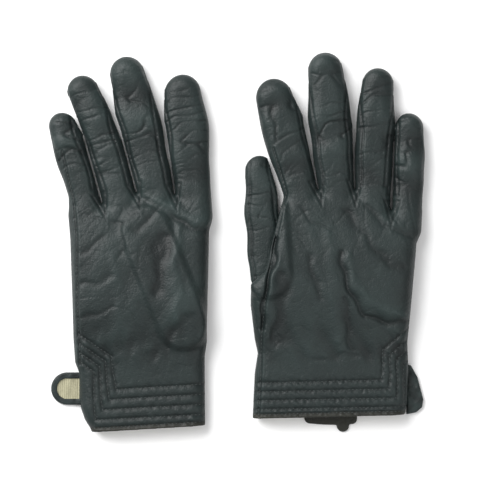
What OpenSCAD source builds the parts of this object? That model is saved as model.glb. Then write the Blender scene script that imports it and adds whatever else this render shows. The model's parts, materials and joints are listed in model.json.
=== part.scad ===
// A pair of leather dress gloves with touchscreen pads, lying palm down.
// Millimetres. The origin is on the surface under the middle of the pair, fingers point to +Y and the
// backs of the hands face +Z. Glove 0 is the left glove and glove 1 is the right glove.

/* [Hand] */
// Thickness of the hand over the thumb, where it is highest
hand_h = 21; // [20:0.5:23]
// Thickness of the cuff at the hem
cuff_h = 13; // [12.5:0.5:15]
// Thickness of the hand where the fingers begin
knuckle_h = 14; // [13.5:0.5:16]
// Thickness of the leather of the hand panels
leather_t = 1.3; // [1:0.1:1.5]
// Thickness of the knitted lining of the hand
lining_t = 1; // [0.8:0.1:1.2]
// Thickness of the wadding behind the quilting, and of the wrist elastic
wadding_t = 1; // [0.7:0.1:1.2]

/* [Fingers] */
// Thickness of an empty finger lying flat
finger_h = 13; // [12:0.5:13.5]
// Wall of a finger: leather with the lining bonded to it
finger_wall = 2.2; // [1.8:0.1:2.4]
// Width of the little finger lying flat
little_w = 20; // [18:0.5:21]
// Width of the ring finger lying flat
ring_w = 24; // [22:0.5:25]
// Width of the middle finger lying flat
middle_w = 27; // [24:0.5:28]
// Width of the index finger lying flat
index_w = 28; // [25:0.5:29]
// Width of the side strip that shows on a finger
fourchette_w = 4; // [3:0.5:5]
// Gap between neighbouring fingers at their roots
finger_gap = 1.6; // [1.5:0.1:2]
// Share of a finger's length at which its middle joint bends
joint_share = 0.46; // [0.42:0.01:0.5]

/* [Thumb] */
// Length of the thumb from its root to its tip
thumb_len = 84; // [78:1:86]
// Width of the thumb lying flat
thumb_w = 22; // [20:0.5:23]
// Thickness of the thumb under the palm
thumb_h = 9; // [8.5:0.5:9.5]
// Wall of the thumb: leather with the lining bonded to it
thumb_wall = 1.7; // [1.5:0.1:2]
// Free height between the thumb and the palm above it
thumb_room = 0.7; // [0.5:0.1:1]

/* [Cuff] */
// Length of the bound edge along the hem
hem_w = 3.2; // [2.5:0.1:4]
// Distance between two lines of quilting along the hem
quilt_pitch = 6.6; // [6:0.1:7]
// Distance between two lines of quilting along the side
quilt_side_pitch = 4.8; // [4.4:0.1:5.2]
// Width of a stitched quilting groove
groove_w = 0.9; // [0.7:0.1:1.2]
// Depth of a stitched quilting groove
groove_d = 0.4; // [0.2:0.1:0.6]
// Length of the open vent above the hem
vent_len = 36; // [30:1:40]
// Thickness of the vent flap's leather, and of its lining
flap_t = 1.1; // [1:0.1:1.3]
// Width of the wrist elastic
elastic_w = 9; // [7:0.5:11]

/* [Touchscreen pads] */
// Diameter of the pad on the index finger
index_pad_d = 14; // [12:0.5:16]
// Diameter of the pad on the thumb
thumb_pad_d = 12; // [10:0.5:13]

/* [Hidden] */
$fn = 48;
leather = "#3d4846";
side_leather = "#353f3e";
lining_cloth = "#a39f84";
wadding_cloth = "#d8d5c8";
elastic_cloth = "#c9c6ba";
binding_leather = "#57523f";
pad_leather = "#2b3030";

hand = ["left", "right"];
digit = ["little", "ring", "middle", "index"];
PARTS = ["back_panel", "palm_panel", "quirks", "hand_lining", "cuff_wadding", "wrist_elastic", "hem_binding",
    "vent_flap", "vent_flap_lining", "thumb_base", "thumb_tip", "thumb_touch_pad", "index_touch_pad"];
SEGMENTS = ["base_leather", "base_fourchettes", "tip_leather", "tip_fourchettes"];

// Which way the index finger lies from the little finger: to +X on the left glove, to -X on the right.
inward = [1, -1];
width = [little_w, ring_w, middle_w, index_w];
length = [56, 79, 87.8, 73];
// For each finger of each glove: the middle of its root, and how far it turns from +Y.
root = [[[-98, 29.5, 13.5], [-76.5, 32, 17], [-53.5, 33.5, 13], [-30.5, 35, 4]],
        [[108.4, 27, -2], [86.8, 33, -3], [64.3, 34.5, 6], [42, 35, 17.5]]];
// Between two fingers: the bottom of the crotch, and the direction of the gap.
crotch = [[[-86.5, 24, 15.5], [-64.5, 31.5, 15], [-40, 30.5, 8.5]],
          [[98.6, 19.5, -2.5], [75.3, 33, 1.5], [52, 33, 11.75]]];
// The line that all four knuckles bend on: a point, and how far the line turns from +X.
knuckle = [[-58, 41.5, 4], [64, 43.5, -4]];
// Edges of each hand from the hem up: the little finger's side, then the thumb's side.
outer_edge = [
    [[-94, -130], [-97.5, -112], [-100.5, -92], [-103.5, -70], [-105.5, -36], [-107, 0], [-109, 22]],
    [[107.5, -130], [108.5, -100], [109, -66], [111.5, -36], [115.5, 2], [118, 20]]];
inner_edge = [
    [[-20.5, -130], [-20.5, -80], [-19, -62], [-18.7, -20], [-18.7, 10], [-17.5, 31]],
    [[9, -130], [10.5, -88], [12, -65], [15.7, -37], [22, 2], [28, 26]]];
// The straight line that best follows each side of the hand: a point on it, and its turn from +Y.
outer_side = [[-105.8, -36, 3.5], [112.5, -36, -3.5]];
inner_side = [[-18.5, -20, 0], [15, -37, -8]];
// The hem: a point, and its turn from +X.
hem = [[-57, -119.4, 3], [60, -111.5, 1.5]];
// The thumb: the middle of its root, and its turn from +Y.
thumb = [[-31.5, -60, 22], [19.2, -28, 4]];
// The line along the thumb's outer edge that the whole thumb swings on.
thumb_axis_x = [-20, 7.5];
// Where the thumb lies beside or under the index finger, it is cut back to this line.
thumb_limit = [[-200, 0, 0], [27.3, 30.7, 17.5]];
// Sides of the thumb that the touchscreen pad is on: it faces the palm.
pad_up = [true, false];
// How far the thumb's pad is moved from the middle of the tip.
thumb_pad_shift = [[0, 0, 0], [-3.5, -4, 0]];
// The vent flap: the middle of its straight edge, its radius, and its reach from that edge.
flap = [[-102, -94], [109.8, -88]];
flap_r = [10.5, 14.5];
flap_reach = [18, 10.2];
flap_rim = 2.6;
far = 300;
clear = 0.15;
lining_gap = wadding_t + clear;
elastic_len = 52;
elastic_y = -80;
hinge_gap = 0.3;
ledge_gap = 1.4;
hinge_z = 5;
thumb_hinge_z = 4;
bend_down = 39;
bend_up = 8.5;
thumb_bend = 36;
side_r = 10;
stump_len = 12;
hang_tab = [67.8, -117.9];
hang_tab_r = 4;
seam_z = 6.5;
tongue_x = 60;
tongue_w = 34;
tongue_y = -117.5;

// Height of the back of the hand along Y, measured from the hem: low at the cuff, high over the thumb.
hand_y0 = -124;
hand_y1 = 44;
swell_y = -18;
function swell(y) = 0.5 + 0.5 * cos(max(-180, min(180, (y - swell_y) * (y < swell_y ? 1.9 : 2.9))));
function hand_top(y) = let (low = y < swell_y ? cuff_h : knuckle_h) low + (hand_h - low) * swell(y);

// Half of all space: what lies to the side of a line given as a point and its turn from +Y.
module side_of(line, side, from = 0) {
    translate([line[0], line[1], -50]) rotate(line[2])
        translate([side > 0 ? from : -from - far, -far, 0]) cube([far, 2 * far, 150]);
}

// All space past a hinge line, with the face bevelled below and above the hinge so that it can bend.
module past_hinge(line, z, down, up, side = 1) {
    translate([line[0], line[1], 0]) rotate(line[2]) rotate([90, 0, 90])
        translate([0, 0, -far / 2]) linear_extrude(far) scale_y(side)
            polygon([[hinge_gap / 2 + (z + 30) * tan(down), -30], [hinge_gap / 2, z],
                [hinge_gap / 2 + (50 - z) * tan(up), 50], [far, 50], [far, -30]]);
}

module scale_y(side) { if (side > 0) children(); else mirror([1, 0]) children(); }

// A flat finger, empty and closed at the tip, shrunk on all sides by e. Its root is at the origin.
module flat_finger(w, h, len, e) {
    half = w / 2 - e;
    r = h / 2 - e;
    intersection() {
        translate([0, 0, -1]) linear_extrude(h + 2) {
            translate([-half, -40]) square([2 * half, len - e - half + 40]);
            translate([0, len - e - half]) circle(half);
        }
        translate([0, len + 10, 0]) rotate([90, 0, 0]) linear_extrude(len + 60) {
            translate([r - half, e]) square([2 * (half - r), 2 * r]);
            for (s = [-1, 1]) translate([s * (half - r), h / 2]) circle(r);
        }
        rotate([90, 0, 90]) translate([0, 0, -w]) linear_extrude(2 * w) {
            translate([-45, e]) square([45 + len - e - r, 2 * r]);
            translate([len - e - r, h / 2]) circle(r);
        }
    }
}

module at(place) { translate([place[0], place[1], 0]) rotate(place[2]) children(); }

// One finger, kept clear of its neighbours on both sides.
module finger(g, i, e) {
    intersection() {
        at(root[g][i]) flat_finger(width[i], finger_h, length[i], e);
        if (i > 0) side_of(crotch[g][i - 1], inward[g], finger_gap / 2 + e);
        if (i < 3) side_of(crotch[g][i], -inward[g], finger_gap / 2 + e);
    }
}

function finger_joint(g, i) = let (s = length[i] * joint_share, r = root[g][i])
    [r[0] - s * sin(r[2]), r[1] + s * cos(r[2]), r[2]];
function thumb_joint(g) = let (s = thumb_len * 0.56, r = thumb[g])
    [r[0] - s * sin(r[2]), r[1] + s * cos(r[2]), r[2]];

module finger_shell(g, i) { difference() { finger(g, i, 0); finger(g, i, finger_wall); } }

module finger_base(g, i) {
    intersection() {
        finger_shell(g, i);
        past_hinge(knuckle[g], hinge_z, bend_down, bend_up);
        past_hinge(finger_joint(g, i), hinge_z, bend_down + 4, 0, -1);
    }
}

module finger_tip(g, i) {
    intersection() { finger_shell(g, i); past_hinge(finger_joint(g, i), hinge_z, bend_down + 4, 0); }
}

// The strips along the sides of a finger that face its neighbours.
module side_strips(g, i) {
    for (s = [-1, 1]) if ((s == inward[g] && i < 3) || (s == -inward[g] && i > 0))
        side_of(root[g][i], s, width[i] / 2 - fourchette_w);
}

// The part of a finger that belongs to the hand, below the knuckle line.
module stump(g, i, e) {
    intersection() {
        finger(g, i, e);
        past_hinge(knuckle[g], hinge_z, bend_down, bend_up, -1);
        at(root[g][i]) translate([-50, -stump_len + e, -1]) cube([100, 60, 40]);
    }
}

// The outline of the hand seen from above, drawn in by e; the cuff end stays open.
function hand_outline(g, e) = concat(
    [for (p = outer_edge[g]) [p[0] + inward[g] * e, min(p[1], outer_edge[g][len(outer_edge[g]) - 1][1] - e)]],
    [for (p = crotch[g]) [p[0], p[1] - e]],
    [for (n = [len(inner_edge[g]) - 1:-1:0]) let (p = inner_edge[g][n])
        [p[0] - inward[g] * e, n == len(inner_edge[g]) - 1 ? p[1] - e : p[1]]]);

// A half round edge along one side of the hand.
module round_side(side_line, toward, e) {
    at(side_line) translate([0, far / 2, 0]) rotate([90, 0, 0]) linear_extrude(far) scale_y(toward) {
        translate([side_r, side_r]) circle(side_r - e);
        translate([side_r, e]) square([far, 2 * (side_r - e)]);
    }
}

// The hand without its fingers, drawn in by e all round and by a further gap at the back and the palm.
module hand_block(g, e, back_gap = 0, palm_gap = 0) {
    low = e + palm_gap;
    drop = e + back_gap;
    intersection() {
        translate([0, 0, -1]) linear_extrude(40) polygon(hand_outline(g, e));
        translate([-far / 2, 0, 0]) rotate([90, 0, 90]) linear_extrude(far)
            polygon(concat(
                [[hand_y0 - 20, low], [hand_y0 - 20, hand_top(hand_y0) - drop]],
                [for (y = [hand_y0:8:hand_y1]) [y, hand_top(y) - drop]],
                [[hand_y1 + 8, knuckle_h - drop], [hand_y1 + 8, low]]));
        round_side(outer_side[g], inward[g], e);
        round_side(inner_side[g], -inward[g], e);
    }
}

// The thumb, shrunk by e, and cut back where the index finger lies.
module whole_thumb(g, e) {
    intersection() {
        at(thumb[g]) flat_finger(thumb_w, thumb_h, thumb_len, e);
        at(thumb[g]) translate([-50, e, -1]) cube([100, thumb_len + 10, 40]);
        if (g == 1) side_of(thumb_limit[g], -1, e);
    }
}

// The hollow under the palm that the thumb lies in, made larger by e.
module thumb_hollow(g, e) {
    rise = thumb_h + thumb_room + e;
    translate([0, 0, -5]) linear_extrude(rise + 5) {
        at(thumb[g]) {
            translate([-thumb_w / 2 - 1 - e, -2.5 - e])
                square([thumb_w + 4 + 2 * e, thumb_len - thumb_w / 2 + 2 + e]);
            translate([1, thumb_len - thumb_w / 2]) circle(thumb_w / 2 + 2 + e);
        }
        at([thumb[g][0], thumb[g][1], 0]) scale_y(inward[g])
            translate([0, -2.5 - e]) square([60, (g == 0 ? 41 : thumb_len + 1) + 2 * e]);
    }
}

// The hand with the beginnings of the fingers and the hollow for the thumb.
module hand_form(g, e, gap = 0) {
    difference() { hand_block(g, e, gap, gap); thumb_hollow(g, e); }
    for (i = [0:3]) stump(g, i, e);
}

module above_hem(g, by = 0) {
    at(hem[g]) translate([-far / 2, by, -10]) cube([far, far, 60]);
}

// The slit at the little finger's side of the cuff that lets the hand in.
module vent(g) {
    y = hem[g][1];
    translate([flap[g][0] - inward[g] * 10, y - 10, flap_t * 2 + 0.4]) scale_y(inward[g])
        cube([26, vent_len + 10, 1.6]);
}

module hand_leather(g) {
    difference() {
        intersection() {
            difference() { hand_form(g, 0); hand_form(g, leather_t); }
            above_hem(g, hem_w);
        }
        vent(g);
    }
}

// Where the back panel is: everything above the side seams, apart from the palm leather that drapes
// over the thumb. It stops short of the little finger's side, where the palm leather wraps round.
module back_region(g) {
    difference() {
        translate([-far, -far, seam_z]) cube([2 * far, 2 * far, 60]);
        side_of([outer_edge[g][3][0] + inward[g] * 3.5, outer_edge[g][3][1], outer_side[g][2]], -inward[g]);
        thumb_hollow(g, leather_t + clear);
    }
}

// The quirk gussets at the bottom of the gaps between the fingers.
module quirk_region(g) {
    for (c = crotch[g]) at(c) translate([-2.5 - finger_gap, -5, -1]) cube([5 + 2 * finger_gap, 40, 40]);
}

// One line of quilting: along the hem, up beside the vent, then slanting out to the side seam.
module quilt_line(g, n) {
    s = inward[g];
    y = hem[g][1] + hem_w + quilt_pitch * (n + 0.6);
    x = flap[g][0] + s * (8 + quilt_side_pitch * (n + 0.6));
    stroke([[hem[g][0] + s * 60, y + tan(hem[g][2]) * s * 60], [x, y - 1.5], [x - s * 3, y + 30 + n * 2],
        [flap[g][0] - s * 9, y + 38 + n * 8]]);
}

module stroke(points) {
    for (n = [0:len(points) - 2]) let (a = points[n], b = points[n + 1], d = b - a)
        translate([a[0], a[1], seam_z]) rotate(atan2(d[1], d[0]))
            translate([-groove_w / 2, -groove_w / 2, 0]) cube([norm(d) + groove_w, groove_w, 40]);
}

module back_panel(g) {
    color(leather) difference() {
        intersection() { hand_leather(g); back_region(g); }
        quirk_region(g);
        difference() { for (n = [0:3]) quilt_line(g, n); hand_block(g, groove_d); }
    }
}

module palm_panel(g) {
    color(leather) difference() {
        union() { hand_leather(g); vent_ledge(g); }
        back_region(g);
        quirk_region(g);
    }
}

// The strip of palm leather that carries the vent flap.
module vent_ledge(g) {
    translate([flap[g][0] + inward[g] * ledge_gap, flap[g][1] - flap_r[g] + 1, 0]) scale_y(inward[g])
        difference() {
            cube([9, 2 * flap_r[g] - 2, 2 * flap_t]);
            translate([2.2, -1, leather_t]) cube([9, 2 * flap_r[g], 5]);
        }
}

// The hem facing of the right palm, which shows a little below the hem, grown by e.
module hem_facing(e) {
    translate([tongue_x - tongue_w / 2 - e, tongue_y - e, -e])
        cube([tongue_w + 2 * e, hem[1][1] - tongue_y + 1.5 + 2 * e, leather_t + 2 * e]);
}

module quirks(g) {
    color(side_leather) intersection() { hand_leather(g); quirk_region(g); }
}

// Where the wadding lies: an L along the hem and up beside the vent.
module wadding_region(g) {
    s = inward[g];
    along_hem = s * (hem[g][0] - flap[g][0]) + 30;
    translate([flap[g][0] + s * 9, hem[g][1] + hem_w + 1.5, seam_z + 1]) linear_extrude(40) scale_y(s) {
        square([along_hem, quilt_pitch * 3.6]);
        square([quilt_side_pitch * 4, 46]);
    }
}

// Where the elastic lies: across the palm side of the wrist.
module elastic_region(g) {
    mid = (flap[g][0] + inner_edge[g][1][0]) / 2;
    translate([mid - elastic_len / 2, elastic_y, -1]) cube([elastic_len, elastic_w, seam_z]);
}

// The lining hangs inside the leather, and leaves room at the back and the palm for what lies between.
module hand_lining(g) {
    e = leather_t + clear;
    color(lining_cloth) difference() {
        intersection() {
            difference() { hand_form(g, e, lining_gap); hand_form(g, e + lining_t, lining_gap); }
            above_hem(g, hem_w + clear);
        }
        vent(g);
    }
}

module cuff_wadding(g) {
    e = leather_t + clear;
    color(wadding_cloth) intersection() {
        difference() { hand_block(g, e); hand_block(g, e, wadding_t); }
        wadding_region(g);
    }
}

module wrist_elastic(g) {
    e = leather_t + clear;
    color(elastic_cloth) intersection() {
        difference() { hand_block(g, e); hand_block(g, e, 0, wadding_t); }
        elastic_region(g);
    }
}

module hem_binding(g) {
    color(binding_leather) difference() {
        intersection() {
            difference() {
                hand_block(g, 0);
                hand_block(g, leather_t + clear + lining_t, lining_gap, lining_gap);
            }
            difference() { above_hem(g); above_hem(g, hem_w - clear); }
        }
        vent(g);
        if (g == 1) hem_facing(clear);
    }
}

// A flap rounded on its free side, drawn in by e along that side.
module flap_plate(g, e, t) {
    intersection() {
        translate([flap[g][0], flap[g][1], 0]) linear_extrude(t) {
            translate([-inward[g] * (flap_reach[g] - flap_r[g]), 0]) circle(flap_r[g] - e);
            if (flap_reach[g] > flap_r[g]) scale_y(-inward[g])
                translate([0, e - flap_r[g]]) square([flap_reach[g] - flap_r[g], 2 * (flap_r[g] - e)]);
        }
        side_of([flap[g][0], flap[g][1], 0], -inward[g], hinge_gap);
    }
}

module vent_flap(g) {
    color(leather) difference() {
        flap_plate(g, 0, 2 * flap_t);
        translate([0, 0, flap_t]) flap_plate(g, flap_rim, 3);
    }
}

module vent_flap_lining(g) {
    color(lining_cloth) translate([0, 0, flap_t + clear / 2]) flap_plate(g, flap_rim + clear, flap_t - clear);
}

module thumb_shell(g) { difference() { whole_thumb(g, 0); whole_thumb(g, thumb_wall); } }

// The patch of skin that a touchscreen pad takes up, near the tip of a finger or thumb.
module pad_region(len, d, up) {
    translate([0, len - d / 2 - 3.5, up ? 5 : -1]) cylinder(h = 6, d = d);
}

module thumb_pad_region(g, e) {
    at(thumb[g]) translate(thumb_pad_shift[g]) pad_region(thumb_len, thumb_pad_d + 2 * e, pad_up[g]);
}

module index_pad_region(g, e) {
    at(root[g][3]) pad_region(length[3], index_pad_d + 2 * e, false);
}

module thumb_base(g) {
    color(leather) intersection() {
        thumb_shell(g);
        past_hinge(thumb_joint(g), thumb_hinge_z, thumb_bend, 0, -1);
    }
}

module thumb_tip(g) {
    color(leather) difference() {
        intersection() { thumb_shell(g); past_hinge(thumb_joint(g), thumb_hinge_z, thumb_bend, 0); }
        thumb_pad_region(g, clear);
    }
}

module thumb_touch_pad(g) {
    color(pad_leather) intersection() { thumb_shell(g); thumb_pad_region(g, 0); }
}

module index_touch_pad(g) {
    color(pad_leather) intersection() { finger_shell(g, 3); index_pad_region(g, 0); }
}

module base_leather(g, i) {
    color(leather) difference() { finger_base(g, i); side_strips(g, i); }
}

module base_fourchettes(g, i) {
    color(side_leather) intersection() { finger_base(g, i); side_strips(g, i); }
}

module tip_leather(g, i) {
    color(leather) difference() {
        finger_tip(g, i);
        side_strips(g, i);
        if (i == 3) index_pad_region(g, clear);
    }
}

module tip_fourchettes(g, i) {
    color(side_leather) intersection() { finger_tip(g, i); side_strips(g, i); }
}

// The hem facing under the right cuff, with a small round ended tab.
module hang_tab() {
    color(binding_leather) {
        hem_facing(0);
        translate([hang_tab[0], hang_tab[1], 0]) cylinder(h = leather_t - clear, r = hang_tab_r);
    }
}

for (g = [0, 1]) {
    back_panel(g);
    palm_panel(g);
    quirks(g);
    hand_lining(g);
    cuff_wadding(g);
    wrist_elastic(g);
    hem_binding(g);
    vent_flap(g);
    vent_flap_lining(g);
    thumb_base(g);
    thumb_tip(g);
    thumb_touch_pad(g);
    index_touch_pad(g);
    for (i = [0:3]) {
        base_leather(g, i);
        base_fourchettes(g, i);
        tip_leather(g, i);
        tip_fourchettes(g, i);
    }
}
hang_tab();  // right_hang_tab
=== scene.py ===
"""A pair of leather dress gloves lying palm down: the visual model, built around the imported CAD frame.

Each glove's leather is one closed form. It is worked out on a grid from the outline of the hand and the
fingers, meshed, creased, and then cut into the pieces that the joints move. Lengths here are millimetres,
and the meshes are written in metres.
"""
import json
import math
import random

import bpy
import numpy as np
import openvdb as vdb
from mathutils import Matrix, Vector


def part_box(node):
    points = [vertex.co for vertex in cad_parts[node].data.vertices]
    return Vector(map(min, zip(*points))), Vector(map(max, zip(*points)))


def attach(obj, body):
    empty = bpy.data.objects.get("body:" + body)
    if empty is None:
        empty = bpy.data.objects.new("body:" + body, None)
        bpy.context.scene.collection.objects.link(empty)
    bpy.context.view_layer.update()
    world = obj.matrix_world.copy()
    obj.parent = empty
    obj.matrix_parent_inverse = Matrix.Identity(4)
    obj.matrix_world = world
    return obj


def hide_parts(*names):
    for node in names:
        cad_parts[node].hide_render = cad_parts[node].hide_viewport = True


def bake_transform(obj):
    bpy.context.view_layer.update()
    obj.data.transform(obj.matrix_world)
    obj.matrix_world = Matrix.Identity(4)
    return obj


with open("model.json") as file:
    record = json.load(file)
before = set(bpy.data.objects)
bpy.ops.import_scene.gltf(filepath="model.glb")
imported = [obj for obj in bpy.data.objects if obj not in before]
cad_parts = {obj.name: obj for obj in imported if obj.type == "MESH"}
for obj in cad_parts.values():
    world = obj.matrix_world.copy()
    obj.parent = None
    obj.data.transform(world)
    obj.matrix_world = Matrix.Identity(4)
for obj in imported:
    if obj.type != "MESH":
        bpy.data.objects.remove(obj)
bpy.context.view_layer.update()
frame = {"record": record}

MM = 0.001
VOXEL = 0.7
SIDES = ("left", "right")
INWARD = {"left": 1, "right": -1}
DIGITS = ("little", "ring", "middle", "index")
# Width and length of each digit lying flat, and the share of the length at its middle joint.
SIZE = {"little": (21.5, 56), "ring": (24.5, 79), "middle": (27, 87.8), "index": (28, 73), "thumb": (22, 84)}
# How far the tips of the left glove lean out from the straight line of the finger.
LEAN = {"left_little": 3.2, "left_ring": 2.6}
JOINT_SHARE = {"little": 0.46, "ring": 0.46, "middle": 0.46, "index": 0.46, "thumb": 0.56}
# The second bend that shows near the tip, as a share of the length.
TIP_BEND = 0.74
# The hem: a point on it, and its turn in degrees.
HEM = {"left": (-57, -119.4, 3.4), "right": (60, -111.6, 1.4)}
# Between neighbouring fingers, from the little finger on: a point, and the turn of the line that parts them.
CROTCH = {
    "left": ((-86.5, 24, 15.5), (-64.5, 31, 15), (-40, 30, 8.5)),
    "right": ((98.6, 19.5, -2.5), (75.3, 33, 1.5), (52, 33, 11.75)),
}
# The hand's outline from the hem up: the little finger's side, then down the thumb's side.
OUTLINE = {
    "left": ((-90, -132), (-94.5, -119), (-98, -113.5), (-100.6, -106), (-101.4, -84), (-104.2, -77),
             (-105.2, -62), (-105.8, -37), (-107.2, 2), (-108.6, 18), (-107.6, 27), (-86, 24), (-64.5, 31),
             (-40, 30), (-19, 31), (-18, 20), (-18.4, -8), (-19.2, -40), (-19.6, -64), (-21, -73),
             (-20.9, -92), (-20.6, -132)),
    "right": ((104, -132), (107.2, -112), (108.8, -102), (109.6, -80), (109, -64), (111.6, -37), (115, 2),
              (117.4, 20), (98.6, 20), (75.3, 33), (52, 33), (31, 31), (28, 24), (23, 4), (18, -18),
              (8.5, -26.6), (8.4, -40), (11, -62), (13, -71), (11, -84), (9.8, -110), (9, -132)),
}
# The seams that show near the edge: by the left glove's little finger and the right one's index finger.
SIDE_SEAM = {
    "left": ((-112, 58), (-108.2, 42), (-104.6, 27), (-102.4, 4), (-101.9, -40), (-100.6, -78)),
    "right": ((23, 60), (28, 44), (31.5, 32), (25.4, 6), (19.4, -24), (15.4, -60), (15, -84), (13.6, -111)),
}
# Long folds on the backs: how high (below zero is a valley), how wide, and the line each one follows.
FOLDS = {
    "left": (
        (0.9, 3.0, ((-70, 31), (-54, 29), (-44, 24), (-32, 17), (-20, 13))),
        (-0.8, 2.2, ((-40, 16), (-28, 9), (-19, 6))),
        (-0.7, 2.4, ((-66, 8), (-58, 14), (-53, 20))),
        (-1.7, 4.6, ((-45.5, 3), (-50, -14), (-50, -30))),
        (0.8, 3.4, ((-38, 7), (-39.5, -14), (-38, -34), (-39, -50))),
        (-1.2, 4.2, ((-33, -48), (-42, -59), (-55, -72))),
        (-0.5, 1.6, ((-73.5, 9), (-73.5, -7))),
        (-0.5, 1.7, ((-101, -48), (-92, -47), (-80, -42))),
        (-0.6, 2.2, ((-101, -28), (-91, -26), (-80, -22))),
        (-0.6, 2.0, ((-100, -6), (-90, -2), (-84, 4))),
        (0.5, 3.6, ((-80, -8), (-76, -30), (-74, -55))),
        (-0.5, 1.4, ((-97, 18), (-84, 15), (-72, 10)))),
    "right": (
        (-2.2, 1.7, ((25.6, 2), (21, -13), (18, -33), (17.6, -45), (14.5, -55))),
        (0.7, 2.6, ((24, -12), (21.5, -34), (21, -50), (21, -60))),
        (-1.2, 4.6, ((29, -22), (26.5, -46), (25, -62))),
        (-1.3, 2.0, ((66, -8), (69, -23), (76, -38), (83, -47), (95, -50.5), (108, -52))),
        (0.8, 2.6, ((71, -10), (75, -24), (82, -36), (92, -43), (106, -46))),
        (-0.9, 2.0, ((68, -37), (70.5, -55), (73.5, -68))),
        (-0.9, 3.0, ((45, -10), (50, -26), (52.5, -36))),
        (-0.6, 2.0, ((50, -74.5), (62, -74), (76, -72))),
        (-0.7, 1.8, ((84, 22), (94, 10), (110, 4))),
        (-0.7, 2.0, ((70, 20), (78, 6), (90, -6), (104, -16))),
        (-0.5, 1.6, ((40, 22), (48, 12), (60, 8))),
        (0.6, 3.4, ((58, 10), (60, -14), (62, -40), (64, -62)))),
}
# The right vent flap, from the top of its fold round to the hem.
FLARE = ((108.6, -78.6), (111.6, -79), (115.8, -86.5), (119.6, -101), (118.8, -106), (115, -109.3),
         (108.6, -110.6))
# The vent flaps: the middle of the fold, the rounding and the reach. Then the thickness of both.
FLAP = {"left": (-102, -94, 10.5, 18), "right": (109.8, -88, 14.5, 10.2)}
FLAP_T = 2.2
# The fields are kept within this distance of the surface, and everything stays this far above the floor.
BAND = 5.0
FLOOR_GAP = 0.05
# How far along a finger its own pieces start.
ROOT_CUT = 3.5
# The form's shoulders: how far in from the outline it reaches full height, above and below its middle.
PILLOW_TOP = 9.0
PILLOW_LOW = 6.5
FINGER_DOWN = 6
THUMB_MIDDLE, THUMB_UP, THUMB_DOWN = 4.3, 4.3, 4.1
# The cuff is hollow to this depth. The vent is a slit in its side: its height, half its width and its length.
CUFF_WALL = 1.9
CUFF_DEPTH = 62
SLIT_HEIGHT, SLIT_HALF, SLIT_LENGTH = 3.6, 0.8, 36
# Thin flat pieces: the step of their grid, and how far in from the edge the rolled edge reaches.
SHEET_STEP = 0.34
SHEET_EDGE = 1.3
SHEET_ROOM = 1.2
HANG_TAB = (67.8, -117.9)
STITCH_PITCH = 2.5
STITCH_HALF = 0.75
STITCH_SIDES = 6


# ---------------------------------------------------------------- frame lookups

def joint(name):
    return next(j for j in frame["record"]["behaviour"]["joints"] if j["name"] == name)


def digit_place(side, digit):
    """Root of a digit, and the unit vectors across and along it, seen from above."""
    name = f"{side}_{digit}_middle_joint"
    at, axis = joint(name)["pos_m"], joint(name)["axis"]
    across = np.array([-axis[0], -axis[1]])
    along = np.array([-across[1], across[0]])
    length = SIZE[digit][1]
    root = np.array(at[:2]) / MM - along * length * JOINT_SHARE[digit]
    return root, across, along


# ---------------------------------------------------------------- plan fields

def smooth(t):
    t = np.clip(t, 0, 1)
    return t * t * (3 - 2 * t)


def ramp(x, low, high):
    return smooth((x - low) / (high - low))


def soft_min(a, b, k):
    h = np.clip(0.5 + 0.5 * (b - a) / k, 0, 1)
    return b + (a - b) * h - k * h * (1 - h)


def local(x, y, origin, across, along):
    dx, dy = x - origin[0], y - origin[1]
    return dx * across[0] + dy * across[1], dx * along[0] + dy * along[1]


def turned(line):
    """Unit vectors across and along a line given as a point and its turn from +Y in degrees."""
    a = math.radians(line[2])
    return np.array([math.cos(a), math.sin(a)]), np.array([-math.sin(a), math.cos(a)])


def polyline_distance(x, y, points):
    best = np.full(np.shape(x), 1e9)
    for (ax, ay), (bx, by) in zip(points[:-1], points[1:]):
        ux, uy = bx - ax, by - ay
        t = np.clip(((x - ax) * ux + (y - ay) * uy) / (ux * ux + uy * uy), 0, 1)
        best = np.minimum(best, np.hypot(x - ax - t * ux, y - ay - t * uy))
    return best


def polygon_distance(x, y, points):
    """Distance to a closed outline, negative inside."""
    ring = list(points) + [points[0]]
    inside = np.zeros(np.shape(x), bool)
    for (ax, ay), (bx, by) in zip(ring[:-1], ring[1:]):
        if ay != by:
            inside ^= ((ay > y) != (by > y)) & (x < (bx - ax) * (y - ay) / (by - ay) + ax)
    return np.where(inside, -1, 1) * polyline_distance(x, y, ring)


def waves(x, y, wavelength, seed, count=9, squeeze=1.0, angle=0.0):
    """Smooth noise from -1 to 1: a sum of waves in seeded directions, longer along the angle given."""
    rng = random.Random(seed)
    c, s = math.cos(math.radians(angle)), math.sin(math.radians(angle))
    u, v = x * c + y * s, (-x * s + y * c) * squeeze
    total = 0
    for _ in range(count):
        turn, phase = rng.uniform(0, math.tau), rng.uniform(0, math.tau)
        k = math.tau / (wavelength * rng.uniform(0.65, 1.5))
        total = total + np.sin(k * (u * math.cos(turn) + v * math.sin(turn)) + phase)
    return total / math.sqrt(count * 1.4)


def valleys(n, width):
    """A sharp valley along every place where the noise passes through zero."""
    return -np.exp(-(n / width) ** 2)


def finger_width(digit, v):
    """Half the width of a digit at v along it: fullest at the middle, finer at the tip."""
    width, length = SIZE[digit]
    t = v / length
    return width / 2 * (0.95 + 0.08 * ramp(t, 0, 0.4) - 0.25 * ramp(t, 0.5, 1.0))


def digit_plan(side, digit, x, y):
    root, across, along = digit_place(side, digit)
    u, v = local(x, y, root, across, along)
    u = u + 0.5 * waves(v, v * 0, 26, hash_of(side, digit), count=4) * ramp(v, 4, 20) \
        + LEAN.get(f"{side}_{digit}", 0) * ramp(v / SIZE[digit][1], 0.05, 1.3) * 1.3
    half = finger_width(digit, v)
    tip = SIZE[digit][1] - finger_width(digit, SIZE[digit][1])
    low = 6 if digit == "thumb" else -18
    d = np.hypot(u, v - np.clip(v, low, tip)) - half
    return d, u, v


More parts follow.
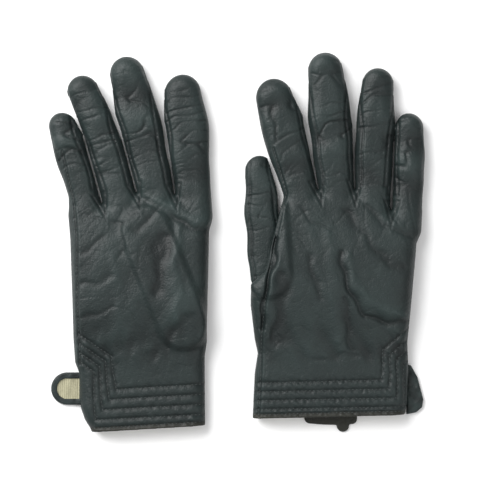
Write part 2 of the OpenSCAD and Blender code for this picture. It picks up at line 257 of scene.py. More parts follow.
def hash_of(*words):
    return sum((i + 3) * ord(c) for i, c in enumerate("".join(words)))


def hand_plan(side, x, y):
    """Plan distance of the whole glove but the thumb."""
    hand = polygon_distance(x, y, OUTLINE[side])
    s = INWARD[side]
    fingers = []
    for i, digit in enumerate(DIGITS):
        d = digit_plan(side, digit, x, y)[0]
        for n, toward in ((i - 1, 1), (i, -1)):
            if 0 <= n < 3:
                line = CROTCH[side][n]
                p, q = local(x, y, line, *turned(line))
                d = np.maximum(d, 0.45 - 0.1 * np.maximum(q - 45, 0) - s * toward * p)
        fingers.append(d)
    joined = np.minimum.reduce(fingers)
    return soft_min(hand, joined, 2.4)


def quilt_lines(side):
    """The four L-shaped lines of quilting, then the line of stitching along the hem."""
    lines = []
    for n in range(4):
        if side == "left":
            end, leg = (-101.2 + 0.5 * n, -58.6 - 6.1 * n), (-80.6 - 3.7 * n, -72.8 - 3.3 * n)
            corner, far_end = (-77.4 - 4.5 * n, -94 - 6.5 * n), (-19, -90.4 - 6.5 * n)
        else:
            end, leg = (110 + 0.4 * n, -54 - 6.6 * n), (92.6 + 4.4 * n, -69 - 3.1 * n)
            corner, far_end = (92 + 5 * n, -88 - 5.7 * n), (12, -90 - 5.6 * n)
        mid = ((leg[0] + corner[0]) / 2 - 0.6 * INWARD[side], (leg[1] + corner[1]) / 2)
        lines.append((end, leg, mid, corner, far_end))
    x, y, turn = HEM[side]
    rise = math.tan(math.radians(turn))
    ends = (-94, -19.5) if side == "left" else (11, 108)
    lines.append(tuple((e, y + 2.6 + (e - x) * rise) for e in ends))
    return lines


def gusset_field(side, x, y):
    """Negative on the fourchettes and the quirk gussets, on the sides of the fingers that face each other."""
    field = np.full(np.shape(x), 9.0)
    s = INWARD[side]
    for line in CROTCH[side]:
        p, q = local(x, y, line, *turned(line))
        field = np.minimum(field, np.maximum(np.abs(p) - 0.3 * (q + 8.5), q - 7))
    for i, digit in enumerate(DIGITS):
        d, u, v = digit_plan(side, digit, x, y)
        strip = 4.6 * (1 - ramp(v, 0.42 * SIZE[digit][1], 0.86 * SIZE[digit][1]))
        for toward in (1, -1):
            if (toward == s and i < 3) or (toward == -s and i > 0):
                inner = finger_width(digit, v) - strip - toward * u
                field = np.minimum(field, np.maximum(inner, np.maximum(3 - v, d - 2)))
    return field


# ---------------------------------------------------------------- the back's relief

def finger_relief(side, digit, x, y):
    """Creases across a finger: fine ones everywhere, deeper ones at the joints, and folds round the tip."""
    d, u, v = digit_plan(side, digit, x, y)
    length = SIZE[digit][1]
    seed = hash_of(side, digit, "creases")
    on = ramp(-d, 0.3, 2.5) * ramp(v, -6, 8)
    bend = v + 0.012 * u * u + 1.2 * waves(u, v, 17, seed + 1, count=4)
    across = valleys(waves(u * 0.35, bend, 13, seed + 2, count=6), 0.16)
    fine = valleys(waves(u * 0.5, bend, 6, seed + 3, count=7), 0.2)
    near = np.exp(-((v - JOINT_SHARE[digit] * length) / 10) ** 2) \
        + 0.8 * np.exp(-((v - TIP_BEND * length) / 7) ** 2)
    patch = ramp(waves(u, v, 24, seed + 4, count=5), -0.5, 0.5)
    swell = 0.55 * waves(u * 0.6, v, 21, seed + 5, count=5)
    return on * (swell + across * (0.35 + 0.75 * near) * (0.35 + 0.65 * patch) + 0.22 * fine * patch)


def hand_relief(side, x, y):
    """Soft folds over the back of the hand: they run from the crotches and slant across to the thumb."""
    s = INWARD[side]
    seed = hash_of(side, "hand")
    wx = x + 1.6 * waves(x, y, 46, seed + 1, count=4)
    wy = y + 1.6 * waves(x, y, 40, seed + 2, count=4)
    slant = 58 * s
    swell = 0.8 * waves(wx, wy, 60, seed + 3, squeeze=2.0, angle=slant) \
        + 0.35 * waves(wx, wy, 24, seed + 4, squeeze=2.2, angle=slant)
    folds = valleys(waves(wx, wy, 62, seed + 5, count=5, squeeze=3.2, angle=slant), 0.09)
    cross = valleys(waves(wx, wy, 40, seed + 6, count=5, squeeze=3.0, angle=-slant * 0.45), 0.08)
    fine = valleys(waves(wx, wy, 15, seed + 7, count=8, squeeze=2.4, angle=slant * 0.6), 0.12)
    crazed = valleys(waves(wx, wy, 7, seed + 10, count=9, squeeze=1.8, angle=-slant * 0.3), 0.14)
    top = ramp(y, -10, 30)
    patch = ramp(waves(x, y, 34, seed + 8, count=5), -0.3, 0.6)
    other = ramp(waves(x, y, 30, seed + 11, count=5), -0.2, 0.7)
    body = swell + folds * (0.3 + 0.35 * top) + cross * (0.15 + 0.3 * other) + fine * (0.08 + 0.26 * patch) \
        + crazed * (0.02 + 0.08 * other)
    wrist = np.exp(-((y + 66) / 13) ** 2)
    ruck = 0.4 * wrist * waves(x, y * 0.45, 9, seed + 9, count=6)
    wander_x = x + 1.4 * waves(x, y, 17, seed + 12, count=5)
    wander_y = y + 1.4 * waves(x, y, 17, seed + 13, count=5)
    long = 0
    for high, wide, line in FOLDS[side]:
        long = long + high * np.exp(-(polyline_distance(wander_x, wander_y, line) / wide) ** 2)
    return 0.45 * body + ruck + long


def back_relief(side, x, y):
    """Height added to the back of the glove, in millimetres."""
    hem_x, hem_y, turn = HEM[side]
    above = y - hem_y - (x - hem_x) * math.tan(math.radians(turn))
    cuff = 1 - ramp(above, 26, 42)
    on_hand = 1 - ramp(y, 24, 38)
    height = hand_relief(side, x, y) * on_hand * (1 - 0.8 * cuff)
    for digit in DIGITS:
        height = height + finger_relief(side, digit, x, y)
    # the puffed channels of the quilting
    near = np.full(np.shape(x), 99.0)
    for line in quilt_lines(side):
        near = np.minimum(near, polyline_distance(x, y, line))
    height = height - 0.6 * np.exp(-(near / 0.8) ** 2) - 0.42 * np.exp(-(near / 2.4) ** 2)
    height = height + 0.16 * np.exp(-(near / 5) ** 2) * waves(x, y, 4.5, hash_of(side, "puffs"), count=8)
    # seams: the side seam, and round the fourchettes and quirks
    seam = polyline_distance(x, y, SIDE_SEAM[side])
    height = height - 0.7 * np.exp(-(seam / 0.8) ** 2) + 0.3 * np.exp(-((seam - 1.6) / 0.9) ** 2)
    edge = np.abs(gusset_field(side, x, y))
    height = height - 0.5 * np.exp(-(edge / 0.8) ** 2) + 0.2 * np.exp(-((edge - 1.5) / 0.8) ** 2)
    return height


# ---------------------------------------------------------------- heights of the form

def thumb_cover(side, x, y, grow):
    """1 over the thumb's place under the palm, 0 away from it."""
    root, across, along = digit_place(side, "thumb")
    u, v = local(x, y, root, across, along)
    d = np.hypot(u, v - np.clip(v, 8, 73)) - 11 - grow
    return 1 - ramp(d, 0, 5)


def heights(side, x, y):
    """Height of the glove's middle, and how thick it is above and below that."""
    above = y - HEM[side][1]
    over_thumb = thumb_cover(side, x, y, 2.2) * (1 - ramp(y, 22, 30))
    top = 12.6 + 5.4 * ramp(above, 30, 85) * (1 - ramp(y, -15, 34)) + 0.4 * ramp(y, 0, 30)
    top = top + 2.2 * over_thumb
    low = 9.9 * over_thumb
    middle = low + (top - low) * 0.46
    return middle, top - middle, middle - low


def pillow(d, z, middle, up, down):
    """A flattened form with rounded sides: d is the plan distance, negative inside."""
    top = np.hypot(np.maximum(PILLOW_TOP + d, 0) * up / PILLOW_TOP, z - middle) - up
    low = np.hypot(np.maximum(PILLOW_LOW + d, 0) * down / PILLOW_LOW, z - middle) - down
    return np.where(z > middle, top, low)


# ---------------------------------------------------------------- meshing

def mesh_of(field, low, step=VOXEL):
    """Vertices in millimetres and quads of the surface where the field passes through zero."""
    grid = vdb.FloatGrid(BAND)
    grid.copyFromArray(np.ascontiguousarray(np.clip(field, -BAND, BAND), dtype=np.float32))
    points, quads = grid.convertToQuads()
    points = np.asarray(points, float) * step + low
    quads = np.asarray(quads, int)
    a, b, c = (points[quads[:, k]] for k in (0, 1, 2))
    if np.einsum("ij,ij->i", a - a.mean(axis=0), np.cross(b - a, c - a)).sum() < 0:
        quads = quads[:, ::-1]
    return points, quads


def vertex_normals(points, quads):
    a, b, c, d = (points[quads[:, k]] for k in range(4))
    normal = np.cross(c - a, d - b)
    total = np.zeros_like(points)
    for k in range(4):
        np.add.at(total, quads[:, k], normal)
    return total / np.maximum(np.linalg.norm(total, axis=1), 1e-12)[:, None]


def space(low, high, step=VOXEL):
    return [np.arange(a, b, step) for a, b in zip(low, high)]


def relax(points, quads, rounds, weight=0.5):
    """Evens out the mesh without moving it off the surface by much."""
    edges = np.concatenate([quads[:, [k, (k + 1) % 4]] for k in range(4)])
    edges = np.concatenate([edges, edges[:, ::-1]])
    count = np.bincount(edges[:, 0], minlength=len(points))[:, None]
    for _ in range(rounds):
        total = [np.bincount(edges[:, 0], points[edges[:, 1], k], len(points)) for k in range(3)]
        total = np.stack(total, axis=1)
        points = points + weight * (total / np.maximum(count, 1) - points)
    return points


def new_piece(name, points, quads, material, normals=None, painted_light_and_tone=None):
    faces = quads.tolist() if isinstance(quads, np.ndarray) else quads
    mesh = bpy.data.meshes.new(name)
    mesh.from_pydata((points * MM).tolist(), [], faces)
    mesh.materials.append(material)
    if painted_light_and_tone is not None:
        mesh.attributes.new("painted_light_and_tone", "FLOAT", "POINT").data.foreach_set("value", painted_light_and_tone.astype(np.float32))
    mesh.shade_smooth()
    if normals is not None:
        mesh.normals_split_custom_set_from_vertices(normals.tolist())
    piece = bpy.data.objects.new(name, mesh)
    bpy.context.collection.objects.link(piece)
    return piece


def cut(name, surface, keep, material):
    """A piece made of the quads that keep picks. It keeps the whole surface's shading normals."""
    quads = surface["quads"][keep]
    used, inverse = np.unique(quads, return_inverse=True)
    return new_piece(name, surface["points"][used], inverse.reshape(quads.shape), material,
                     surface["normals"][used], surface["painted_light_and_tone"][used])


# ---------------------------------------------------------------- materials

def shader(name):
    material = bpy.data.materials.new(name)
    material.use_nodes = True
    nodes, links = material.node_tree.nodes, material.node_tree.links
    return material, nodes, links, nodes["Principled BSDF"]


def noise(nodes, links, coords, scale, detail=3.0, roughness=0.55):
    node = nodes.new("ShaderNodeTexNoise")
    node.inputs["Scale"].default_value = scale
    node.inputs["Detail"].default_value = detail
    node.inputs["Roughness"].default_value = roughness
    links.new(coords, node.inputs["Vector"])
    return node.outputs["Fac"]


def maths(nodes, links, operation, a, b):
    node = nodes.new("ShaderNodeMath")
    node.operation = operation
    for socket, value in zip(node.inputs, (a, b)):
        if isinstance(value, (int, float)):
            socket.default_value = value
        else:
            links.new(value, socket)
    return node.outputs[0]


def mix(nodes, links, factor, a, b):
    node = nodes.new("ShaderNodeMix")
    node.data_type = "RGBA"
    links.new(factor, node.inputs[0])
    node.inputs[6].default_value = (*a, 1)
    node.inputs[7].default_value = (*b, 1)
    return node.outputs[2]


def bump(nodes, links, bsdf, height, distance):
    node = nodes.new("ShaderNodeBump")
    node.inputs["Strength"].default_value = 1.0
    node.inputs["Distance"].default_value = distance
    links.new(height, node.inputs["Height"])
    links.new(node.outputs[0], bsdf.inputs["Normal"])


def leather_shader(name, dark, light, roughness=0.5, grain=0.00017):
    """Fine grained leather: pebbles under a millimetre, cloudy colour, and painted light from the mesh's
    attribute: a painted highlight where the folds stand up and painted shade in the creases.
    """
    material, nodes, links, bsdf = shader(name)
    coords = nodes.new("ShaderNodeTexCoord").outputs["Object"]
    cells = nodes.new("ShaderNodeTexVoronoi")
    cells.feature = "SMOOTH_F1"
    cells.inputs["Scale"].default_value = 1250
    links.new(coords, cells.inputs["Vector"])
    pores = noise(nodes, links, coords, 620, 4)
    clouds = noise(nodes, links, coords, 34, 5, 0.6)
    # the mesh attribute read here carries painted light (a painted highlight on raised folds, painted shade
    # in creases and on the sides); on the vent flaps it is only a random tone
    light_and_tone_input = nodes.new("ShaderNodeAttribute")
    light_and_tone_input.attribute_name = "painted_light_and_tone"
    tone = maths(nodes, links, "MULTIPLY", clouds, 0.75)
    tone = maths(nodes, links, "ADD", tone, maths(nodes, links, "MULTIPLY", light_and_tone_input.outputs["Fac"], 0.85))
    tone = maths(nodes, links, "ADD", tone, maths(nodes, links, "MULTIPLY", pores, 0.25))
    tone = maths(nodes, links, "SUBTRACT", tone, 0.42)
    links.new(mix(nodes, links, tone, dark, light), bsdf.inputs["Base Color"])
    rough = maths(nodes, links, "ADD", maths(nodes, links, "MULTIPLY", clouds, 0.16), roughness - 0.08)
    links.new(rough, bsdf.inputs["Roughness"])
    bsdf.inputs["Specular IOR Level"].default_value = 0.31
    bsdf.inputs["Sheen Weight"].default_value = 0.05
    bsdf.inputs["Sheen Roughness"].default_value = 0.45
    bsdf.inputs["Sheen Tint"].default_value = (0.75, 0.85, 0.83, 1)
    relief = maths(nodes, links, "MULTIPLY", pores, 0.9)
    relief = maths(nodes, links, "SUBTRACT", relief, cells.outputs["Distance"])
    puckers = noise(nodes, links, coords, 210, 5, 0.6)
    creases = nodes.new("ShaderNodeTexVoronoi")
    creases.feature = "DISTANCE_TO_EDGE"
    creases.inputs["Scale"].default_value = 330
    bent = nodes.new("ShaderNodeVectorMath")
    bent.operation = "MULTIPLY_ADD"
    links.new(noise(nodes, links, coords, 160, 2), bent.inputs[0])
    bent.inputs[1].default_value = (0.004, 0.004, 0.004)
    links.new(coords, bent.inputs[2])
    links.new(bent.outputs[0], creases.inputs["Vector"])
    folded = maths(nodes, links, "MULTIPLY", creases.outputs["Distance"], 5)
    folded = maths(nodes, links, "MINIMUM", folded, 1)
    relief = maths(nodes, links, "ADD", maths(nodes, links, "MULTIPLY", relief, 0.6),
                   maths(nodes, links, "ADD", maths(nodes, links, "MULTIPLY", puckers, 1.5),
                         maths(nodes, links, "MULTIPLY", folded, 0.32)))
    bump(nodes, links, bsdf, relief, grain)
    return material


def cloth_shader(name, dark, light, ribs, depth):
    """Knitted or woven cloth: fine ribs crossed by a looser noise."""
    material, nodes, links, bsdf = shader(name)
    coords = nodes.new("ShaderNodeTexCoord").outputs["Object"]
    wave = nodes.new("ShaderNodeTexWave")
    wave.inputs["Scale"].default_value = ribs
    wave.inputs["Distortion"].default_value = 1.6
    wave.inputs["Detail"].default_value = 2
    wave.inputs["Detail Scale"].default_value = 3
    links.new(coords, wave.inputs["Vector"])
    fluff = noise(nodes, links, coords, 900, 4)
    tone = maths(nodes, links, "ADD", maths(nodes, links, "MULTIPLY", wave.outputs["Fac"], 0.45),
                 maths(nodes, links, "MULTIPLY", fluff, 0.6))
    links.new(mix(nodes, links, tone, dark, light), bsdf.inputs["Base Color"])
    bsdf.inputs["Roughness"].default_value = 0.92
    bsdf.inputs["Specular IOR Level"].default_value = 0.2
    bsdf.inputs["Sheen Weight"].default_value = 0.2
    bump(nodes, links, bsdf, tone, depth)
    return material


LOOK = {
    "leather": leather_shader("leather", (0.0018, 0.0042, 0.0044), (0.0165, 0.0275, 0.0265)),
    # a darker copy of the leather: painted shade on the fourchettes and quirks between the fingers
    "side_leather": leather_shader("side_leather", (0.0014, 0.0034, 0.0036), (0.0115, 0.0195, 0.0190), 0.5),
    "binding": leather_shader("binding", (0.0040, 0.0046, 0.0036), (0.026, 0.027, 0.019), 0.5),
    "touch_pad": leather_shader("touch_pad", (0.007, 0.0085, 0.0090), (0.022, 0.027, 0.028), 0.36, 0.00006),
    "lining": cloth_shader("lining", (0.16, 0.15, 0.095), (0.44, 0.42, 0.29), 260, 0.00025),
    "wadding": cloth_shader("wadding", (0.55, 0.53, 0.46), (0.78, 0.76, 0.69), 60, 0.0004),
    "elastic": cloth_shader("elastic", (0.42, 0.41, 0.37), (0.72, 0.70, 0.64), 420, 0.0002),
    "thread": cloth_shader("thread", (0.018, 0.024, 0.023), (0.06, 0.075, 0.072), 2400, 0.00005),
}


def fit(piece, slot, body, *nodes):
    """The piece follows the named body, or stays where it is when anything else is given, and stands for CAD
    nodes, which are hidden. The slot is not used.
    """
    if isinstance(body, str):
        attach(piece, body)
    else:
        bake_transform(piece)
    if nodes:
        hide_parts(*nodes)
    return piece


# ---------------------------------------------------------------- the hands and fingers

def snap(points, field, reach=0.45):
    """Slides the vertices nearest to a plan field's zero line onto it, so that a cut there is clean."""
    x, y, e = points[:, 0], points[:, 1], 0.05
    most = 0.5
    value = field(x, y)
    gx = (field(x + e, y) - field(x - e, y)) / (2 * e)
    gy = (field(x, y + e) - field(x, y - e)) / (2 * e)
    size = np.maximum(gx * gx + gy * gy, 0.2)
    move = np.where(np.abs(value) < reach * VOXEL, -value / size, 0)
    points[:, 0] += np.clip(move * gx, -most, most)
    points[:, 1] += np.clip(move * gy, -most, most)


def above_hem(side, x, y):
    hem_x, hem_y, turn = HEM[side]
    a = math.radians(turn)
    return (y - hem_y) * math.cos(a) - (x - hem_x) * math.sin(a)


def glove_surface(side):
    """The whole glove but the thumb: a closed surface, open at the cuff, with its folds and seams."""
    xs = [p[0] for p in OUTLINE[side]]
    low = np.array([min(xs) - 14, HEM[side][1] - 6, -2.2])
    axes = space(low, [max(xs) + 8, 126, 24])
    x, y = np.meshgrid(axes[0], axes[1], indexing="ij")
    plan = hand_plan(side, x, y)
    middle, up, down = (h[..., None] for h in heights(side, x, y))
    z = axes[2][None, None, :]
    form = pillow(plan[..., None], z, middle, up, down)
    above = above_hem(side, x, y)[..., None]
    room = np.maximum(form + CUFF_WALL, above - CUFF_DEPTH)
    field = np.maximum(form, -room)
    edge_x = FLAP[side][0] + INWARD[side] * 8
    beyond = (x[..., None] - edge_x) * INWARD[side]
    slit = np.maximum(np.maximum(beyond, np.abs(z - SLIT_HEIGHT) - SLIT_HALF), above - SLIT_LENGTH)
    field = np.maximum(field, -slit)
    field = np.maximum(field, -above)
    points, quads = mesh_of(field, low)
    points = relax(points, quads, 2, 0.4)

    x, y, z = points.T
    middle, up, down = heights(side, x, y)
    form = pillow(hand_plan(side, x, y), z, middle, up, down)
    inside = (form < -0.55 * CUFF_WALL) & (above_hem(side, x, y) < CUFF_DEPTH + 2)
    facing = vertex_normals(points, quads)[:, 2]
    relief = back_relief(side, x, y)
    on_back = ramp(z - middle, -0.5, 2.5) * ramp(np.abs(facing), 0.08, 0.5)
    lift = relief * on_back
    folds = valleys(waves(x, y, 26, hash_of(side, "palm", "folds"), squeeze=2.2), 0.14)
    under = np.maximum(0.4 * waves(x, y, 22, hash_of(side, "palm"), squeeze=1.6) - 0.7 * folds, 0)
    lift = lift + under * ramp(middle - z, 0.5, 3)
    points[:, 2] = np.maximum(z + lift, FLOOR_GAP)
    # painted light in the colour: paler on the raised folds as a painted highlight, darker in the crease
    # valleys as painted shade, and darker on the steep sides and the palm side as painted shade
    painted_light_and_tone = np.clip(0.5 + 0.42 * relief * on_back - 0.25 * (1 - on_back), 0, 1)
    snap(points, lambda px, py: gusset_field(side, px, py))
    return {"points": points, "quads": quads, "normals": vertex_normals(points, quads), "painted_light_and_tone": painted_light_and_tone,
            "inside": inside}


def middle_of(surface):
    corners = surface["points"][surface["quads"]]
    return corners.mean(axis=1)


def build_hand(side):
    surface = glove_surface(side)
    quads, centre = surface["quads"], middle_of(surface)
    x, y, z = centre.T
    inner = surface["inside"][quads].sum(axis=1) >= 3
    above = above_hem(side, x, y)
    gusset = (gusset_field(side, x, y) < 0) & ~inner
    owner = np.full(len(quads), -1)
    best = np.full(len(quads), 1e9)
    along = np.zeros(len(quads))
    for i, digit in enumerate(DIGITS):
        d, _, v = digit_plan(side, digit, x, y)
        here = (d < best) & (v > ROOT_CUT)
        best, owner, along = np.where(here, d, best), np.where(here, i, owner), np.where(here, v, along)
    hand = f"{side}_hand"
    on_hand = owner < 0
    binding = on_hand & ~inner & (above < 3.1)
    back = z > heights(side, x, y)[0]
    leather = on_hand & ~inner & ~binding
    for node, keep, slot in (
            ("back_panel", leather & ~gusset & back, "leather"),
            ("palm_panel", leather & ~gusset & ~back, "leather"),
            ("quirks", leather & gusset, "side_leather"),
            ("hem_binding", binding, "binding"),
            ("hand_lining", on_hand & inner, "lining")):
        fit(cut(f"{side}_{node}_soft", surface, keep, LOOK[slot]), slot, hand, f"{side}_{node}")
    # the wadding and the elastic lie out of sight between the leather and the lining
    for node, keep, slot, shift in (
            ("cuff_wadding", inner & back & (above > 4) & (above < 30), "wadding", 0.8),
            ("wrist_elastic", inner & ~back & (above > 36) & (above < 46), "elastic", -0.8)):
        moved = dict(surface, points=surface["points"] + np.array([0, 0, shift]))
        fit(cut(f"{side}_{node}_soft", moved, keep, LOOK[slot]), slot, hand, f"{side}_{node}")
    for i, digit in enumerate(DIGITS):
        build_finger(surface, side, digit, owner == i, along, gusset)


def build_finger(surface, side, digit, mine, v, gusset):
    root, _, direction = digit_place(side, digit)
    bend = SIZE[digit][1] * JOINT_SHARE[digit]
    small = digit == "little"
    reach = 7 if small else 10
    waist = (16 if small else 17, bend - reach)

    def at(v_at):
        p = root + direction * v_at
        return (p[0] * MM, p[1] * MM, 5 * MM)

    divide = (waist[0] + waist[1]) / 2
    hand, base, tip = f"{side}_hand", f"{side}_{digit}_base", f"{side}_{digit}_tip"
    sections = ((v < divide, base, (hand, base, at(ROOT_CUT), at(waist[0]))),
                (v >= divide, tip, (base, tip, at(waist[1]), at(bend + reach))))
    for here, part, body in sections:
        for strips, slot, suffix in ((False, "leather", "leather"), (True, "side_leather", "fourchettes")):
            piece = cut(f"{part}_{suffix}_soft", surface, mine & here & (gusset == strips), LOOK[slot])
            fit(piece, slot, body, f"{part}_{suffix}")


# ---------------------------------------------------------------- the thumbs

def build_thumb(side):
    root, _, along = digit_place(side, "thumb")
    ends = np.array([root, root + along * SIZE["thumb"][1]])
    low = np.array([*(ends.min(axis=0) - 18), -2.2])
    axes = space(low, [*(ends.max(axis=0) + 18), 12])
    x, y = np.meshgrid(axes[0], axes[1], indexing="ij")
    plan, _, v = digit_plan(side, "thumb", x, y)
    plan = np.maximum(plan, 0.6 - v)
    if side == "right":
        p, _ = local(x, y, (27.3, 30.7), *turned((0, 0, 17.5)))
        plan = np.maximum(plan, p + 0.6)
    form = pillow(plan[..., None], axes[2][None, None, :], THUMB_MIDDLE, THUMB_UP, THUMB_DOWN)
    points, quads = mesh_of(form, low)
    points = relax(points, quads, 2, 0.4)
    x, y, z = points.T
    facing = vertex_normals(points, quads)[:, 2]
    _, u, v = digit_plan(side, "thumb", x, y)
    relief = 0.8 * finger_relief(side, "thumb", x, y)
    seam = np.abs(np.abs(u) - finger_width("thumb", v) + 3.2)
    relief = relief - 0.6 * np.exp(-(seam / 0.8) ** 2)
    weight = ramp(np.abs(facing), 0.1, 0.5)
    lift = np.where(z > THUMB_MIDDLE, np.minimum(relief, 0.2), np.maximum(-relief, 0))
    points[:, 2] = np.clip(z + lift * weight, FLOOR_GAP, 9)
    # painted light in the colour: paler on the raised creases as a painted highlight, darker in their valleys
    # as painted shade
    painted_light_and_tone = np.clip(0.5 + 0.42 * relief * weight, 0, 1)
    surface = {"points": points, "quads": quads, "normals": vertex_normals(points, quads), "painted_light_and_tone": painted_light_and_tone}
    centre = middle_of(surface)
    _, _, v = digit_plan(side, "thumb", centre[:, 0], centre[:, 1])
    bend = SIZE["thumb"][1] * JOINT_SHARE["thumb"]

    def at(v_at):
        q = root + along * v_at
        return (q[0] * MM, q[1] * MM, 4 * MM)

    base, tip = f"{side}_thumb_base", f"{side}_thumb_tip"
    fit(cut(f"{base}_soft", surface, v < bend - 10, LOOK["leather"]), "leather", base, base)
    fit(cut(f"{tip}_soft", surface, v >= bend - 10, LOOK["leather"]), "leather",
        (base, tip, at(bend - 9), at(bend + 9)), tip)


# ---------------------------------------------------------------- pads, flaps, the hem tab and the stitches

def node_box(name):
    low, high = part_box(name)
    return np.array(low) / MM, np.array(high) / MM


def build_pad(side, digit):
    """A round patch of conductive leather, lying just proud of the digit it is sewn to."""
    node = f"{side}_{digit}_touch_pad"
    low, high = node_box(node)
    centre, radius = (low + high) / 2, min(high[0] - low[0], high[1] - low[1]) / 2
    rings, spokes = 9, 56
    r = radius * np.sqrt(np.linspace(0, 1, rings + 1)[1:])[:, None]
    t = np.linspace(0, math.tau, spokes, endpoint=False)[None, :]
    x = np.append(centre[0], (centre[0] + r * np.cos(t)).ravel())
    y = np.append(centre[1], (centre[1] + r * np.sin(t)).ravel())
    plan = digit_plan(side, digit, x, y)[0]
    upward = side == "left" and digit == "thumb"
    edge = np.clip((radius - np.hypot(x - centre[0], y - centre[1])) / 1.2, 0, 1)
    if upward:
        reach = np.clip((PILLOW_TOP + plan) / PILLOW_TOP, 0, 0.9)
        z = THUMB_MIDDLE + THUMB_UP * np.sqrt(1 - reach ** 2) - 0.5 + 0.6 * edge ** 0.5
    else:
        reach = np.clip((PILLOW_LOW + plan) / PILLOW_LOW, 0, 0.9)
        half = THUMB_DOWN if digit == "thumb" else FINGER_DOWN
        z = half * (1 - np.sqrt(1 - reach ** 2)) + 0.45 - 0.42 * edge ** 0.5
    points = np.stack([x, y, z], axis=1)
    quads = [(0, 1 + k, 1 + (k + 1) % spokes) for k in range(spokes)]
    for n in range(rings - 1):
        a, b = 1 + n * spokes, 1 + (n + 1) * spokes
        quads += [(a + k, b + k, b + (k + 1) % spokes, a + (k + 1) % spokes) for k in range(spokes)]
    if not upward:
        quads = [q[::-1] for q in quads]
    piece = new_piece(f"{node}_soft", points, quads, LOOK["touch_pad"])
    fit(piece, "touch_pad", f"{side}_{digit}_tip", node)


def sheet_form(plan_of, low, high, thick, base):
    """A thin flat piece with rolled edges, cut from a plan field."""
    start = (*low, base - SHEET_ROOM)
    axes = space(start, (*high, base + thick + SHEET_ROOM), SHEET_STEP)
    x, y = np.meshgrid(axes[0], axes[1], indexing="ij")
    plan = plan_of(x, y)[..., None]
    z = axes[2][None, None, :]
    half = thick / 2
    form = np.hypot(np.maximum(plan + SHEET_EDGE, 0) * half / SHEET_EDGE, z - base - half) - half
    points, quads = mesh_of(form, np.array(start), SHEET_STEP)
    return relax(points, quads, 1, 0.4), quads


def build_flap(side):
    """The vent flap, folded out: a thick leather rim round a panel of the lining."""
    fx, fy, radius, reach = FLAP[side]
    s = INWARD[side]

    def plan(x, y):
        if side == "right":
            return polygon_distance(x, y, FLARE)
        u, v = (fx - x) * s, y - fy
        return np.maximum(np.hypot(np.maximum(u - (reach - radius), 0), v) - radius, -4 - u)

    points, quads = sheet_form(plan, (fx - 22, fy - 26), (fx + 22, fy + 17), FLAP_T + 0.5, 0.1)
    x, y, z = points.T
    depth = plan(x, y)
    lined_side = ramp(z, 1.2, 1.9) if side == "left" else 1 - ramp(z, 0.6, 1.2)
    sunk = ramp(-depth, 3.4, 4.4) * lined_side * (1 if side == "left" else -0.4)
    waved = 0.25 * waves(x, y, 7, hash_of(side, "flap")) * ramp(-depth, 0.5, 2) * ramp(z, 1, 2)
    points[:, 2] = z - 0.85 * sunk + waved
    painted_light_and_tone = np.clip(0.5 + 0.3 * waves(x, y, 9, hash_of(side, "rim")), 0, 1)
    surface = {"points": points, "quads": quads, "normals": vertex_normals(points, quads), "painted_light_and_tone": painted_light_and_tone}
    centre = middle_of(surface)
    facing = (centre[:, 2] > 1) if side == "left" else (centre[:, 2] < 0.9)
    panel = (plan(centre[:, 0], centre[:, 1]) < -3.9) & facing
    body = f"{side}_vent_flap"
    fit(cut(f"{body}_soft", surface, ~panel, LOOK["leather"]), "leather", body, body)
    fit(cut(f"{body}_lining_soft", surface, panel, LOOK["lining"]), "lining", body, f"{body}_lining")


def build_hem_tab():
    """The facing that turns under the right hem, and its small round tab."""
    def from_tab(x, y):
        return np.hypot(x - HANG_TAB[0], y - HANG_TAB[1])

    def plan(x, y):
        bow = 0.0035 * (x - 62) ** 2
        beside, below = np.abs(x - 60) - 14, np.abs(y + 111 - bow) - 3.4
        facing = np.hypot(np.maximum(beside, 0), np.maximum(below, 0)) - 3
        return soft_min(facing, from_tab(x, y) - 4, 1.2)

    points, quads = sheet_form(plan, (40, -124), (80, -104), 1.4, 0.05)
    x, y, z = points.T
    ring = np.abs(from_tab(x, y) - 2.7)
    points[:, 2] = z - 0.25 * np.exp(-(ring / 0.4) ** 2) * ramp(z, 0.6, 1.2)
    piece = new_piece("right_hang_tab_soft", points, quads, LOOK["binding"],
                      vertex_normals(points, quads), np.full(len(x), 0.4))
    fit(piece, "binding", "right_hand", "right_hang_tab")


def back_height(side, x, y):
    middle, up, _ = heights(side, x, y)
    reach = np.clip((PILLOW_TOP + hand_plan(side, x, y)) / PILLOW_TOP, 0, 1)
    return middle + up * np.sqrt(1 - reach ** 2) + back_relief(side, x, y)


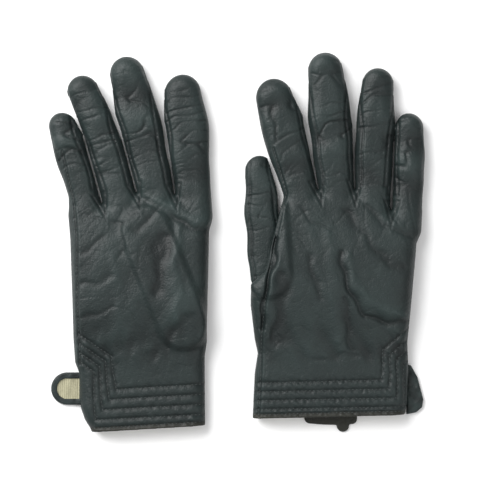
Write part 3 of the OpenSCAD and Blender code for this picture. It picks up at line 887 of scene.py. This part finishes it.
def build_stitches(side):
    """Short stitches along the quilting and the hem."""
    places = []
    for line in quilt_lines(side) + [SIDE_SEAM[side]]:
        carry = 0.0
        for a, b in zip(line[:-1], line[1:]):
            a, b = np.array(a, float), np.array(b, float)
            length = np.linalg.norm(b - a)
            along = (b - a) / length
            at = carry
            while at < length:
                places.append((*(a + along * at), *along))
                at += STITCH_PITCH
            carry = at - length
    places = np.array(places)
    x, y = places[:, 0], places[:, 1]
    places = places[(hand_plan(side, x, y) < -1.2) & (above_hem(side, x, y) > 1)]
    ends = places[:, :2, None] + places[:, 2:, None] * np.array([-STITCH_HALF, 0, STITCH_HALF])
    z = np.stack([back_height(side, ends[:, 0, k], ends[:, 1, k]) for k in range(3)], axis=1)
    z = z + np.array([-0.05, 0.12, -0.05])
    points, quads = [], []
    for n, (x, y, dx, dy) in enumerate(places):
        start = len(points)
        for k in range(3):
            width = (0.1, 0.24, 0.1)[k]
            for m in range(STITCH_SIDES):
                t = math.tau * m / STITCH_SIDES
                points.append((ends[n, 0, k] - dy * width * math.cos(t),
                               ends[n, 1, k] + dx * width * math.cos(t),
                               z[n, k] + width * math.sin(t)))
        for k in range(2):
            a = start + STITCH_SIDES * k
            b = a + STITCH_SIDES
            turns = [(m, (m + 1) % STITCH_SIDES) for m in range(STITCH_SIDES)]
            quads += [(a + m, b + m, b + m_next, a + m_next) for m, m_next in turns]
    piece = new_piece(f"{side}_stitches", np.array(points), np.array(quads), LOOK["thread"])
    fit(piece, "leather", f"{side}_hand")


# ---------------------------------------------------------------- the stage

def build_stage():
    bpy.ops.mesh.primitive_plane_add(size=8, location=(0, 0, -0.0002))
    floor = bpy.context.object
    floor.name = "floor"
    material, _, _, bsdf = shader("floor")
    bsdf.inputs["Base Color"].default_value = (0.9, 0.9, 0.9, 1)
    bsdf.inputs["Roughness"].default_value = 0.9
    bsdf.inputs["Specular IOR Level"].default_value = 0.1
    floor.data.materials.append(material)
    world = bpy.data.worlds.new("studio")
    bpy.context.scene.world = world
    world.use_nodes = True
    world.node_tree.nodes["Background"].inputs["Color"].default_value = (1, 1, 1, 1)
    world.node_tree.nodes["Background"].inputs["Strength"].default_value = 0.5
    for name, place, size, power in (
            ("key", (-0.7, 0.6, 0.85), 1.0, 27),
            ("fill", (0.7, -0.5, 1.4), 1.2, 7)):
        light = bpy.data.lights.new(name, "AREA")
        light.size, light.energy = size, power
        lamp = bpy.data.objects.new(name, light)
        bpy.context.collection.objects.link(lamp)
        lamp.location = place
        lamp.rotation_euler = (-lamp.location).to_track_quat("-Z", "Y").to_euler()
    camera = bpy.data.objects.new("camera", bpy.data.cameras.new("camera"))
    sensor, distance, seen = 36, 1.6, 0.3194  # seen is the width of floor that fills the picture, in metres
    camera.data.sensor_width = sensor
    camera.data.lens = sensor * distance / seen
    camera.location = (0.0077, -0.0045, 1.61)
    bpy.context.collection.objects.link(camera)
    bpy.context.scene.camera = camera
    bpy.context.scene.view_settings.view_transform = "Standard"


for glove in SIDES:
    build_hand(glove)
    build_thumb(glove)
    build_pad(glove, "index")
    build_pad(glove, "thumb")
    build_flap(glove)
    build_stitches(glove)
build_hem_tab()
build_stage()
